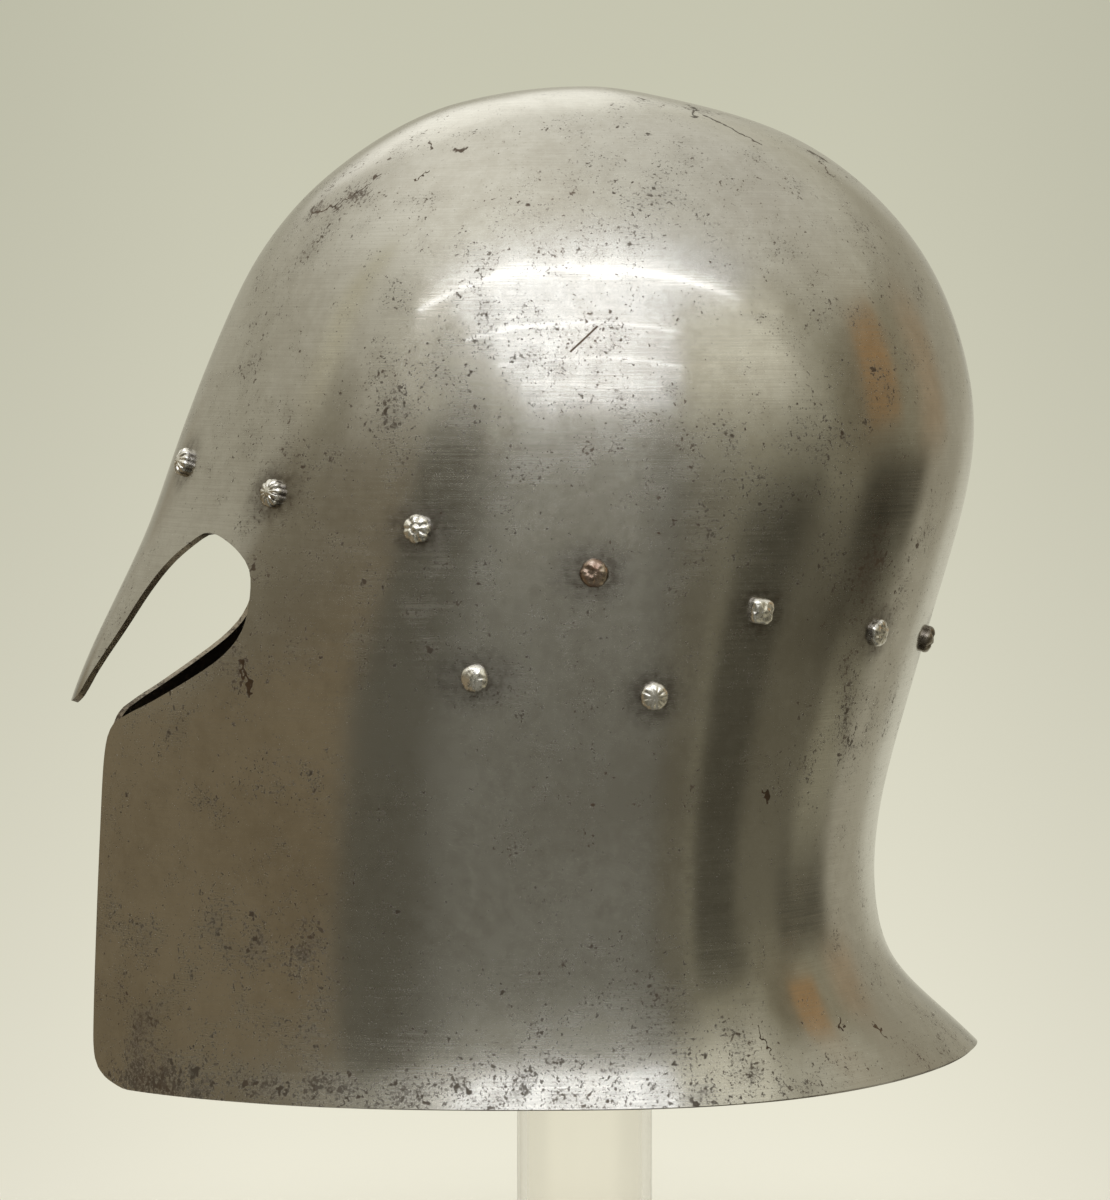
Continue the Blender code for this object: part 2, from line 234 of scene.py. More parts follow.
CORROSION = (
    Patch(117, 0.100, 0.012, 0.004, 0.9),
    Patch(140, 0.128, 0.020, 0.004, 1.0),
    Patch(8, 0.115, 0.020, 0.005, 0.9),
    Patch(156, 0.211, 0.006, 0.003, 1.3),
    Patch(24, 0.276, 0.006, 0.003, 1.3),
    Patch(36, 0.262, 0.007, 0.003, 0.9),
    Patch(54, 0.209, 0.004, 0.003, 0.9),
    Patch(46, 0.662, 0.004, 0.007, 1.2),
    Patch(24, 0.965, 0.014, 0.010, 0.25),
    Patch(40, 0.978, 0.022, 0.008, 0.40),
    Patch(62, 0.986, 0.020, 0.006, 0.60),
    Patch(36, 0.990, 0.020, 0.005, 0.65),
    Patch(28, 0.900, 0.006, 0.018, 0.5),
    Patch(42, 0.762, 0.008, 0.010, 0.6),
    Patch(57, 0.752, 0.005, 0.008, 0.5),
    Patch(54, 0.870, 0.018, 0.014, 0.45),
    Patch(90, 0.962, 0.040, 0.010, 0.40),
    Patch(118, 0.965, 0.030, 0.012, 0.20),
    Patch(96, 0.850, 0.012, 0.014, 0.35),
    Patch(118, 0.530, 0.022, 0.030, 0.35),
    Patch(133, 0.570, 0.014, 0.036, 0.45),
    Patch(137, 0.700, 0.012, 0.018, 0.45),
    Patch(77, 0.568, 0.005, 0.006, 0.45),
    Patch(104, 0.640, 0.012, 0.010, 0.35),
    Patch(60, 0.450, 0.012, 0.014, 0.40),
    Patch(86, 0.395, 0.016, 0.007, 0.35),
    Patch(84, 0.272, 0.030, 0.008, 0.30),
    Patch(52, 0.745, 0.010, 0.008, 0.60),
    Patch(58, 0.880, 0.008, 0.010, 0.60),
    Patch(32, 0.955, 0.008, 0.008, 0.45),
    Patch(131, 0.725, 0.005, 0.010, 0.45),
    Patch(136, 0.700, 0.004, 0.010, 0.50),
)
PATINA = (
    Patch(135, 0.550, 0.009, 0.030, 0.75),
    Patch(118, 0.535, 0.014, 0.022, 0.40),
    Patch(128, 0.620, 0.016, 0.016, 0.35),
)


class Gouge(NamedTuple):
    """A scratch or a crack in the left side: its ends, half its width, and if it wanders."""

    start: Place
    end: Place
    width: float
    crooked: bool = True


GOUGES = (
    Gouge(Place(84.8, 0.4065), Place(88.6, 0.3865), 0.00036, False),
    Gouge(Place(23.2, 0.2791), Place(31.2, 0.2724), 0.00090),
    Gouge(Place(31.2, 0.2724), Place(36.8, 0.2500), 0.00045),
    Gouge(Place(36.4, 0.2430), Place(37.2, 0.2350), 0.00080),
    Gouge(Place(49.5, 0.2475), Place(51.5, 0.2359), 0.00045),
    Gouge(Place(54.0, 0.2070), Place(56.5, 0.2085), 0.00150),
    Gouge(Place(43.2, 0.1910), Place(46.8, 0.2027), 0.00070),
    Gouge(Place(131.5, 0.1395), Place(131.5, 0.1744), 0.00120),
    Gouge(Place(131.5, 0.1744), Place(134.2, 0.1960), 0.00110),
    Gouge(Place(143.5, 0.1080), Place(124.2, 0.1462), 0.00080),
    Gouge(Place(155.2, 0.2010), Place(158.5, 0.2126), 0.00230),
    Gouge(Place(153.5, 0.2126), Place(149.0, 0.2359), 0.00050),
    Gouge(Place(133.8, 0.9402), Place(132.5, 0.9518), 0.00060),
    Gouge(Place(116.0, 0.9369), Place(116.0, 0.9601), 0.00040),
    Gouge(Place(141.2, 0.9535), Place(141.2, 0.9651), 0.00050),
    Gouge(Place(119.8, 0.7492), Place(120.8, 0.7608), 0.00080),
    Gouge(Place(45.2, 0.6495), Place(47.8, 0.6761), 0.00080),
)


# Flecks by their grain per metre, the level above which they show, how softly, and how dark
FLECKS = (
    (1200, 0.848, 0.095, 0.60),
    (620, 0.871, 0.085, 0.80),
    (300, 0.918, 0.080, 0.90),
)
# Layers of brushing, by their lines per metre along and across
BRUSHING = ((30, 2600), (60, 7000))
# How far a crooked gouge wanders to each side, in metres
WANDER = 0.003


class Finish(NamedTuple):
    """A metal's colours where clean and where tarnished, how tarnished and how rough it is."""

    clean: tuple
    tarnish: tuple
    amount: float
    roughness: float


PLATE_FINISH = Finish((0.585, 0.57, 0.53), (0.37, 0.34, 0.285), 0.5, 0.18)
INNER_FINISH = Finish((0.07, 0.062, 0.052), (0.03, 0.024, 0.019), 0.8, 0.55)
EDGE_FINISH = Finish((0.33, 0.285, 0.22), (0.13, 0.10, 0.07), 1.0, 0.34)
RIVET_FINISHES = {
    "bright": Finish((0.86, 0.84, 0.80), (0.60, 0.57, 0.52), 0.5, 0.16),
    "rusty": Finish((0.56, 0.48, 0.41), (0.17, 0.075, 0.04), 1.0, 0.22),
    "dark": Finish((0.40, 0.37, 0.32), (0.14, 0.11, 0.085), 0.9, 0.30),
}
# The colour of the grime and the painted contact shadow round the rivet heads on the plate
PLATE_GRIME_AND_SHADE = (0.085, 0.065, 0.047)
PIT_COLORS = (0.052, 0.036, 0.022), (0.092, 0.054, 0.030)
# The colour of the grime in the rivet heads' grooves and of the painted shade round their rims
RIVET_GRIME_AND_SHADE = (0.085, 0.066, 0.05)
RIVET_PITS = (0.05, 0.04, 0.03)
ACRYLIC_COLOR = (0.975, 0.965, 0.94)
ACRYLIC_IOR = 1.49
FELT_COLORS = (0.028, 0.028, 0.031), (0.075, 0.074, 0.078)
FELT_TUFTS = (0.09, 0.088, 0.085)


class Stretch(NamedTuple):
    """A soft-edged stretch of what surrounds the helmet, between two bounds each way."""

    left: float
    right: float
    low: float
    high: float
    blur: float
    color: tuple


# The ceiling's lights, by how far aside and ahead they are of the helmet, in ceiling heights
CEILING_LIGHTS = (
    Stretch(-1.38, 1.02, 0.840, 0.900, 0.03, (5.2, 5.2, 5.2)),
    Stretch(-1.12, 0.98, 1.425, 1.455, 0.02, (7.2, 7.2, 7.2)),
    Stretch(-0.94, 0.90, 1.930, 1.960, 0.02, (7.0, 7.0, 7.0)),
    Stretch(-0.80, 0.80, 2.430, 2.465, 0.02, (6.4, 6.4, 6.2)),
    Stretch(-0.72, 0.56, 2.825, 2.865, 0.02, (5.8, 5.7, 5.5)),
)
# The room, in degrees round from the camera's side and degrees up
ROOM = (
    Stretch(-200, 200, -95, 12, 6, (0.165, 0.158, 0.128)),
    Stretch(-175, -96, 6, 22, 6, (0.49, 0.465, 0.37)),
    Stretch(-44, -24, -95, 18, 4, (0.122, 0.114, 0.086)),
    Stretch(-145, -44, -95, 9, 4, (0.214, 0.171, 0.106)),
    Stretch(-92, -44, 5, 18, 4, (0.200, 0.172, 0.118)),
    Stretch(-86, -73, 14, 23, 4, (0.290, 0.265, 0.195)),
    Stretch(-95, -86, 20, 44, 4, (0.62, 0.585, 0.44)),
    Stretch(-20, 26, -60, 13, 6, (0.205, 0.198, 0.163)),
    Stretch(-17, 18, -2, 15, 6, (0.345, 0.335, 0.280)),
    Stretch(28, 46, -60, 8, 5, (0.170, 0.155, 0.112)),
    Stretch(42, 120, -60, 27, 5, (0.330, 0.305, 0.215)),
    Stretch(30, 72, 8, 36, 5, (0.45, 0.425, 0.325)),
    Stretch(28, 64, 17, 36, 6, (0.88, 0.85, 0.70)),
    Stretch(76, 92, -2, 24, 4, (0.225, 0.200, 0.135)),
    Stretch(88, 102, 6, 26, 2, (0.41, 0.260, 0.125)),
    Stretch(116, 158, -60, 30, 6, (0.425, 0.397, 0.305)),
    Stretch(112, 126, -1, 22, 5, (0.410, 0.325, 0.215)),
    Stretch(44, 72, -40, 0, 4, (0.086, 0.079, 0.056)),
    Stretch(66, 96, -40, -5, 4, (0.165, 0.150, 0.105)),
    Stretch(88, 117, -13, -2, 4, (0.092, 0.084, 0.060)),
)
# What is behind the helmet and glances off its outline
BACKDROP = (
    Stretch(157, 400, -95, 24, 9, (0.48, 0.46, 0.37)),
    Stretch(144, 400, -95, -1, 7, (0.60, 0.58, 0.47)),
    Stretch(-400, -152, -95, 24, 9, (0.45, 0.43, 0.34)),
    Stretch(-400, -150, -95, -1, 7, (0.60, 0.57, 0.46)),
    Stretch(174, 400, 22, 46, 6, (1.16, 1.14, 1.02)),
    Stretch(-400, -152, 24, 46, 6, (1.22, 1.20, 1.08)),
)

# The pale backdrop high up and low down, and the floor, which fades into it between two reaches
BACKDROP_COLORS = (0.550, 0.545, 0.424), (1.05, 1.01, 0.86)
FLOOR_COLORS = (0.86, 0.845, 0.765), (0.875, 0.86, 0.78)
FLOOR_RADIUS = 1.4
FADE_START = 0.08
FADE_END = 0.40

# The photograph's view
CAMERA_AZIMUTH = math.radians(-3.4)
CAMERA_ELEVATION = math.radians(3.1)
CAMERA_DISTANCE = 1.300
CAMERA_TARGET = Vector((0.0, -0.0089, 0.23673))
CAMERA_LENS = 130.26
SENSOR_WIDTH = 36


def spline_at(knots, values, at):
    """A curve through values at knots, smooth to its second derivative, at many places."""
    gaps = np.diff(knots)
    slopes = np.diff(values) / gaps
    last = len(knots) - 1
    system = np.eye(last + 1)
    load = np.zeros(last + 1)
    for i in range(1, last):
        system[i, i - 1 : i + 2] = gaps[i - 1], 2 * (gaps[i - 1] + gaps[i]), gaps[i]
        load[i] = 6 * (slopes[i] - slopes[i - 1])
    bends = np.linalg.solve(system, load)
    i = np.clip(np.searchsorted(knots, at) - 1, 0, last - 1)
    gap, left, right = gaps[i], knots[i + 1] - at, at - knots[i]
    curved = (bends[i] * left**3 + bends[i + 1] * right**3) / (6 * gap)
    from_left = (values[i] / gap - bends[i] * gap / 6) * left
    return curved + from_left + (values[i + 1] / gap - bends[i + 1] * gap / 6) * right


def section_table():
    """The knots and columns of SECTIONS over the crown, and the way's length."""
    rows = np.array(SECTIONS)
    reaches = (rows[:, 1] * FRONT_REACH + rows[:, 2] * BACK_REACH) / 2
    steps = np.hypot(np.diff(rows[:, 0]) * SHELL_HEIGHT, np.diff(reaches))
    lengths = np.concatenate([[0], np.cumsum(steps)])
    ways = lengths / lengths[-1]
    knots = np.concatenate([-ways[:0:-1], ways])
    columns = {}
    for i, name in enumerate(Section._fields):
        sign = -1 if name in ("front", "back", "side") else 1
        columns[name] = np.concatenate([sign * rows[:0:-1, i], rows[:, i]])
    return knots, columns, lengths[-1]


KNOTS, COLUMNS, WAY_LENGTH = section_table()


def plate_points(ways, bearings):
    """Points of the plate's outer face, for arrays of ways and of bearings in radians."""
    level = {name: spline_at(KNOTS, column, ways) for name, column in COLUMNS.items()}
    along, across = np.cos(bearings), np.sin(bearings)
    ahead = along > 0
    reach = np.where(ahead, level["front"] * FRONT_REACH, level["back"] * BACK_REACH)
    keel = np.where(ahead, level["front_keel"], level["back_keel"])
    lift = np.where(ahead, -FRONT_RIM_DIP, TAIL_LIFT)
    narrowing = keel * (along**4 + along**RIDGE_SHARPNESS / 2)
    x = level["side"] * HALF_WIDTH * across * (1 - narrowing)
    y = -reach * along - np.where(ahead, nasal_bend(x, ways), 0)
    z = RIM_HEIGHT + SHELL_HEIGHT * (1 - level["drop"]) + level["lift"] * lift * along**2
    return np.stack([x, y, z], axis=-1)


def nasal_bend(x, ways):
    """How far the nasal is set forward. The plates beside it keep their form."""
    down = (ways - BROW_WAY) / (NASAL_TIP_WAY - BROW_WAY)
    aside = np.clip(np.abs(x) / NASAL_HALF_WIDTH - 1, 0, 1)
    bend = NASAL_BEND * down**2 * (1 - aside**2 * (3 - 2 * aside))
    return np.where((ways > BROW_WAY) & (ways < CHEEK_TOP_WAY), bend, 0.0)


def plate_slopes(ways, bearings):
    """How the outer face runs for a step on the flat pattern, along its X and its Y."""
    step = 1e-4
    around = plate_points(ways, bearings + step) - plate_points(ways, bearings - step)
    down = plate_points(ways + step, bearings) - plate_points(ways - step, bearings)
    return around / (2 * step * HALF_WIDTH), -down / (2 * step * WAY_LENGTH)


def plate_normals(ways, bearings):
    """The unit vectors out of the plate."""
    across, up = plate_slopes(np.maximum(ways, 1e-3), bearings)
    normals = np.cross(across, up)
    return normals / np.linalg.norm(normals, axis=-1, keepdims=True)


def flat_place(place, side=1):
    """A place on the flat pattern: X runs round the helmet, and Y up to the crown."""
    return np.array([side * math.radians(place.bearing) * HALF_WIDTH, -place.way * WAY_LENGTH])


def smooth_line(places, steps):
    """Points of a curve through flat places."""
    line = []
    for i in range(1, len(places) - 2):
        before, start, end, after = places[i - 1 : i + 3]
        for step in range(steps):
            t = step / steps
            swing = (end - before) * t + (2 * before - 5 * start + 4 * end - after) * t**2
            swing = swing + (3 * start - before - 3 * end + after) * t**3
            line.append(start + swing / 2)
    return line + list(places[-2:])


def face_outline():
    """The face opening on the flat pattern."""
    left = [flat_place(place) for place in FACE_OPENING]
    right = [flat_place(place, side=-1) for place in FACE_OPENING[:0:-1]]
    return np.array([right[0]] + smooth_line(right + left, OPENING_STEPS))


def hole_outline(rivet, side):
    """A rivet's hole on the flat pattern, which is round once the plate is raised."""
    bearing = np.array([side * math.radians(rivet.bearing)])
    across, up = (slope[0] for slope in plate_slopes(np.array([rivet.way]), bearing))
    normal = np.cross(across, up)
    first = across / np.linalg.norm(across)
    second = np.cross(normal / np.linalg.norm(normal), first)
    angles = np.arange(HOLE_SIDES) * 2 * math.pi / HOLE_SIDES
    offsets = np.outer(np.cos(angles), first) + np.outer(np.sin(angles), second)
    offsets *= SHANK_RADIUS + HOLE_CLEARANCE
    flat = np.linalg.lstsq(np.stack([across, up], axis=1), offsets.T, rcond=None)[0].T
    return flat_place(rivet, side) + flat


def inside_outline(points, outline):
    """Which flat points lie inside a closed outline."""
    inside = np.zeros(len(points), dtype=bool)
    for start, end in zip(outline, np.roll(outline, -1, axis=0)):
        spans = (start[1] > points[:, 1]) != (end[1] > points[:, 1])
        if spans.any():
            share = (points[:, 1] - start[1]) / (end[1] - start[1] or 1)
            inside ^= spans & (points[:, 0] < start[0] + share * (end[0] - start[0]))
    return inside


def nearest_on_outline(points, outline):
    """The nearest points of a closed outline, and how far off they are."""
    best = np.full(len(points), np.inf)
    nearest = points.copy()
    for start, end in zip(outline, np.roll(outline, -1, axis=0)):
        run = end - start
        share = np.clip((points - start) @ run / max(run @ run, 1e-18), 0, 1)
        place = start + share[:, None] * run
        off = np.linalg.norm(points - place, axis=1)
        closer = off < best
        best[closer] = off[closer]
        nearest[closer] = place[closer]
    return nearest, best


def cut_outline(bm, outline, cell):
    """Cut an outline out of a flat grid. Near vertices move onto it, so no slivers are left."""
    low, high = outline.min(axis=0) - 2 * cell, outline.max(axis=0) + 2 * cell
    near = [v for v in bm.verts if low[0] < v.co.x < high[0] and low[1] < v.co.y < high[1]]
    flat = np.array([v.co.xy for v in near])
    places, off = nearest_on_outline(flat, outline)
    inside = inside_outline(flat, outline)
    on_line = []
    signed = {}
    for vert, place, distance, within in zip(near, places, off, inside):
        signed[vert] = -distance if within else distance
        if distance < SNAP_SHARE * cell and not vert.is_boundary:
            vert.co.xy = place
            on_line.append(vert)
            signed[vert] = 0.0
    crossing = []
    for edge in dict.fromkeys(edge for vert in near for edge in vert.link_edges):
        first, second = (signed.get(vert) for vert in edge.verts)
        if first and second and first * second < 0:
            crossing.append((edge, edge.verts[0], first / (first - second)))
    for edge, start, share in crossing:
        on_line.append(bmesh.utils.edge_split(edge, start, share)[1])
    bmesh.ops.connect_verts(bm, verts=on_line)
    faces = list(dict.fromkeys(face for vert in near for face in vert.link_faces))
    centres = np.array([face.calc_center_median().xy for face in faces])
    gone = [face for face, cut in zip(faces, inside_outline(centres, outline)) if cut]
    bmesh.ops.delete(bm, geom=gone, context="FACES")


def hammered(point):
    """How far in the hammer and the years left the plate at a point, in metres."""
    broad = noise.noise(point / SWELL_LENGTH)
    fine = noise.noise(point / (SWELL_LENGTH * 0.37) + Vector((7, 3, 5)))
    return SWELL * (1.35 - broad - 0.35 * fine)


def off_place(place, ways, bearings):
    """How far vertices are from a place, round the plate on either side and down it."""
    aside = (np.abs(np.degrees(bearings)) - place.bearing) * math.pi / 180 * HALF_WIDTH
    return aside, (ways - place.way) * WAY_LENGTH


def grime_and_shade_at(ways, bearings):
    """How much grime and painted contact shadow lie at each vertex, round the rivets."""
    grime_and_shade = np.zeros(len(ways))
    for rivet in LINING_RIVETS + STRAP_RIVETS:
        aside, down = off_place(rivet, ways, bearings)
        off = np.maximum(np.hypot(aside, down) - LINING_HEAD_RADIUS, 0)
        grime_and_shade += np.exp(-((off / GRIME_AND_SHADE_REACH) ** 2))
    return grime_and_shade


def patches_at(patches, ways, bearings):
    """How strongly patches reach each vertex."""
    reach = np.zeros(len(ways))
    for patch in patches:
        aside, down = off_place(patch, ways, bearings)
        off = (aside / patch.round) ** 2 + (down / patch.down) ** 2
        reach += patch.strength * np.exp(-off)
    return reach


def flat_pattern(columns, rows, length):
    """A flat grid, once round the helmet and from the crown down to a length."""
    bm = bmesh.new()
    bmesh.ops.create_grid(bm, x_segments=columns, y_segments=rows, size=0.5)
    bmesh.ops.translate(bm, verts=bm.verts, vec=(0, -0.5, 0))
    bmesh.ops.scale(bm, verts=bm.verts, vec=(PATTERN_WIDTH, length, 1))
    return bm


def raise_plate(bm):
    """Turn the flat pattern into the helmet. It keeps the pattern as its UV map."""
    uv = bm.loops.layers.uv.new("pattern")
    for face in bm.faces:
        for loop in face.loops:
            flat = loop.vert.co
            loop[uv].uv = (flat.x / PATTERN_WIDTH, -flat.y / WAY_LENGTH)
    flat = np.array([vert.co.xy for vert in bm.verts])
    ways, bearings = -flat[:, 1] / WAY_LENGTH, flat[:, 0] / HALF_WIDTH
    raised, normals = plate_points(ways, bearings), plate_normals(ways, bearings)
    wear = {
        # Grime and a painted contact shadow round the rivet heads
        "grime_and_shade": grime_and_shade_at(ways, bearings),
        "corrosion": patches_at(CORROSION, ways, bearings),
        "patina": patches_at(PATINA, ways, bearings),
    }
    for name, amounts in wear.items():
        layer = bm.verts.layers.float.new(name)
        for vert, amount in zip(bm.verts, amounts):
            vert[layer] = amount
    for vert, point, normal in zip(bm.verts, raised, normals):
        point = Vector(point)
        vert.co = point - Vector(normal) * hammered(point)
    bmesh.ops.remove_doubles(bm, verts=bm.verts, dist=WELD)
    bmesh.ops.recalc_face_normals(bm, faces=bm.faces)


def new_piece(name, bm, materials, node, smooth_angle=40):
    """A finished piece that stands for its CAD node and rides on the one body."""
    mesh = bpy.data.meshes.new(name)
    bm.to_mesh(mesh)
    bm.free()
    mesh.shade_smooth()
    mesh.set_sharp_from_angle(angle=math.radians(smooth_angle))
    for material in materials:
        mesh.materials.append(material)
    piece = bpy.data.objects.new(name, mesh)
    bpy.context.scene.collection.objects.link(piece)
    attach(piece, "root")
    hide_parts(node)
    return piece


def round_edges(piece, width, segments=2, angle=60):
    """Give a piece's sharp edges a small radius."""
    rounding = piece.modifiers.new("rounded_edges", "BEVEL")
    rounding.width = width
    rounding.segments = segments
    rounding.limit_method = "ANGLE"
    rounding.angle_limit = math.radians(angle)
    rounding.harden_normals = True


def make_plate(steel, inner_steel, edge_steel):
    """The helmet's plate, cut flat, raised, thickened and worn round at its edges."""
    bm = flat_pattern(PLATE_COLUMNS, PLATE_ROWS, WAY_LENGTH)
    cell = PATTERN_WIDTH / PLATE_COLUMNS
    cut_outline(bm, face_outline(), cell)
    for rivet in LINING_RIVETS + STRAP_RIVETS:
        for side in (1, -1):
            cut_outline(bm, hole_outline(rivet, side), cell)
    raise_plate(bm)
    plate = new_piece("helmet_plate", bm, (steel, inner_steel, edge_steel), "shell")
    solid = plate.modifiers.new("thickness", "SOLIDIFY")
    solid.thickness = PLATE
    solid.offset = -1
    solid.use_quality_normals = True
    solid.material_offset = 1
    solid.material_offset_rim = 2
    round_edges(plate, EDGE_ROUND)


def turned_shape(profile, sides):
    """Turn a profile of radii and heights round the Z axis, closed where it meets the axis."""
    bm = bmesh.new()
    verts = [bm.verts.new((radius, 0, height)) for radius, height in profile]
    edges = [bm.edges.new(pair) for pair in zip(verts, verts[1:])]
    turned = {
        "geom": verts + edges, "cent": (0, 0, 0), "axis": (0, 0, 1), "angle": 2 * math.pi,
    }
    bmesh.ops.spin(bm, steps=sides, use_merge=True, **turned)
    bmesh.ops.remove_doubles(bm, verts=bm.verts, dist=WELD / 10)
    bmesh.ops.recalc_face_normals(bm, faces=bm.faces)
    return bm


def rivet_profile(head_radius):
    """A domed head, its shank through the plate and the burr inside. The plate is at height 0."""
    profile = []
    for ring in range(DOME_RINGS + 1):
        angle = math.pi / 2 * ring / DOME_RINGS
        height = HEAD_EDGE + (HEAD_HEIGHT - HEAD_EDGE) * math.cos(angle) ** 0.85
        profile.append((head_radius * math.sin(angle), height))
    burr_top = -PLATE - GAP
    return profile + [
        (head_radius * 0.96, -HEAD_SINK),
        (SHANK_RADIUS, -HEAD_SINK),
        (SHANK_RADIUS, burr_top),
        (BURR_RADIUS, burr_top),
        (BURR_RADIUS, burr_top - 0.6 * BURR_THICKNESS),
        (0.6 * BURR_RADIUS, burr_top - BURR_THICKNESS),
        (0, burr_top - BURR_THICKNESS),
    ]


def strike_head(bm, rivet, head_radius, seed):
    """Shape a plain dome into the struck and worn head: petals, boss, corners and dents."""
    grime_and_shade = bm.verts.layers.float.new("grime_and_shade")
    for vert in bm.verts:
        if vert.co.z < -PLATE / 2:
            continue
        out = min(vert.co.xy.length / head_radius, 1)
        angle = math.atan2(vert.co.y, vert.co.x)
        groove = rivet.groove * (1 - abs(math.cos(rivet.petals * angle / 2 + seed))) ** 2
        groove *= min(max((out - PETALS_FROM) / (PETALS_FULL - PETALS_FROM), 0), 1)
        ring = rivet.boss * math.exp(-(((out - BOSS_RING) / BOSS_WIDTH) ** 2))
        corner = SQUARE_SIDE / max(abs(math.cos(angle + seed)), abs(math.sin(angle + seed)))
        spot = Vector((2.2 * vert.co.x, 2.2 * vert.co.y, vert.co.z)) / head_radius
        dent = noise.noise(spot * 0.9 + Vector((seed, 3 * seed, 0)))
        dent += 0.5 * noise.noise(spot * 2.1 + Vector((0, seed, 5 * seed)))
        wide = rivet.squareness * (min(corner, SQUARE_CORNER) - 1) - 0.35 * groove
        wide += min(rivet.dents * (dent - 0.6) * 0.5, 0)
        vert.co.xy *= 1 + wide * out**2
        if vert.co.z > HEAD_EDGE * 0.5:
            tall = 1 - groove - ring * 0.8 + min(rivet.dents * (dent - 0.5) * 1.6, 0)
            vert.co.z *= max(tall, 0.2)
        # Grime in the grooves and the boss ring; the darkening round the head's rim is painted
        # shade
        dirt_and_shade = 2.6 * groove + 1.5 * ring + max(out - 0.9, 0) * 5 - 0.6 * dent * out
        vert[grime_and_shade] = min(dirt_and_shade, 1.2)


def make_rivets(kind, rivets, head_radius, finishes):
    """A row of rivets on each side, numbered from the front."""
    for side, side_name in ((1, "left"), (-1, "right")):
        for number, rivet in enumerate(rivets, start=1):
            bm = turned_shape(rivet_profile(head_radius), DOME_SIDES)
            strike_head(bm, rivet, head_radius, seed=0.9 * number + 0.35 * side)
            bearing = np.array([side * math.radians(rivet.bearing)])
            way = np.array([rivet.way])
            normal = Vector(plate_normals(way, bearing)[0])
            turn = normal.to_track_quat("Z", "Y").to_matrix().to_4x4()
            place = Matrix.Translation(Vector(plate_points(way, bearing)[0]))
            bmesh.ops.transform(bm, matrix=place @ turn, verts=bm.verts)
            node = f"{kind}_{side_name}_{number}"
            new_piece(f"{node}_head", bm, (finishes[rivet.finish],), node)


def make_pad(felt):
    """The felt pad between the stand and the crown, soft at its edge."""
    bm = flat_pattern(PAD_COLUMNS, PAD_ROWS, PAD_WAY * WAY_LENGTH * PAD_INSET)
    for vert in bm.verts:
        way = np.array([-vert.co.y / WAY_LENGTH])
        bearing = np.array([vert.co.x / HALF_WIDTH])
        under = plate_normals(way, bearing)[0] * (PLATE + GAP + 2 * SWELL)
        vert.co = plate_points(way, bearing)[0] - under
    bmesh.ops.remove_doubles(bm, verts=bm.verts, dist=WELD)
    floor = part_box("crown_pad")[0][2]
    rim = [edge for edge in bm.edges if edge.is_boundary]
    for share in PAD_RINGS:
        made = bmesh.ops.extrude_edge_only(bm, edges=rim)["geom"]
        bulge = 1.0 + PAD_BULGE * math.sin(share * math.pi)
        for vert in (item for item in made if isinstance(item, bmesh.types.BMVert)):
            height = vert.co.z + (floor - vert.co.z) * share
            vert.co = (vert.co.x * bulge, vert.co.y * bulge, height)
        rim = [item for item in made if isinstance(item, bmesh.types.BMEdge)]
    bmesh.ops.holes_fill(bm, edges=[edge for edge in bm.edges if edge.is_boundary])
    bmesh.ops.recalc_face_normals(bm, faces=bm.faces)
    pad = new_piece("crown_pad_felt", bm, (felt,), "crown_pad", smooth_angle=60)
    round_edges(pad, PAD_EDGE, angle=50)


def make_stand(acrylic):
    """The clear foot, the tube that stands in it, and the plate that the pad lies on."""
    foot, tube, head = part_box("stand_base"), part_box("stand_tube"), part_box("stand_head")
    foot_radius, foot_top = foot[1][0], foot[1][2]
    socket = tube[0][2] - GAP
    head_radius, head_top = head[1][0], head[1][2]
    head_foot = head[0][2] + SPIGOT_LENGTH
    spigot = TUBE_RADIUS - TUBE_WALL - GAP
    profiles = {
        "base": [
            (0, socket),
            (TUBE_RADIUS + GAP, socket),
            (TUBE_RADIUS + GAP, foot_top),
            (foot_radius, foot_top),
            (foot_radius, 0),
            (0, 0),
        ],
        "tube": [
            (TUBE_RADIUS, tube[0][2]),
            (TUBE_RADIUS, tube[1][2]),
            (TUBE_RADIUS - TUBE_WALL, tube[1][2]),
            (TUBE_RADIUS - TUBE_WALL, tube[0][2]),
            (TUBE_RADIUS, tube[0][2]),
        ],
        "head": [
            (0, head_top),
            (head_radius, head_top),
            (head_radius, head_foot),
            (spigot, head_foot),
            (spigot, head[0][2]),
            (0, head[0][2]),
        ],
    }
    for part, profile in profiles.items():
        bm = turned_shape(profile, STAND_SIDES)
        name = f"stand_{part}"
        piece = new_piece(f"{name}_clear", bm, (acrylic,), name, smooth_angle=30)
        round_edges(piece, TUBE_EDGE if part == "tube" else STAND_EDGE, segments=3)


def fill_inputs(tree, node, inputs):
    """Give a node's inputs their values or links. A colour of three numbers is opaque."""
    for name, value in inputs.items():
        socket = node.inputs[name]
        if isinstance(value, bpy.types.NodeSocket):
            tree.links.new(value, socket)
        elif socket.type == "RGBA" and len(value) == 3:
            socket.default_value = (*value, 1)
        else:
            socket.default_value = value


def add_node(tree, kind, inputs=None, **settings):
    """A shader node, with its settings and with values or links for its inputs."""
    node = tree.nodes.new(f"ShaderNode{kind}")
    for name, value in settings.items():
        setattr(node, name, value)
    fill_inputs(tree, node, inputs or {})
    return node


def work_out(tree, operation, *values):
    return add_node(tree, "Math", dict(enumerate(values)), operation=operation).outputs[0]


def vector_math(tree, operation, *values):
    return add_node(tree, "VectorMath", dict(enumerate(values)), operation=operation).outputs


def ease(tree, value, low, high, to_low=0.0, to_high=1.0):
    """A value taken from one range to another, eased at both ends and held beyond them."""
    inputs = {"Value": value, "From Min": low, "From Max": high}
    inputs |= {"To Min": to_low, "To Max": to_high}
    return add_node(tree, "MapRange", inputs, interpolation_type="SMOOTHSTEP").outputs[0]


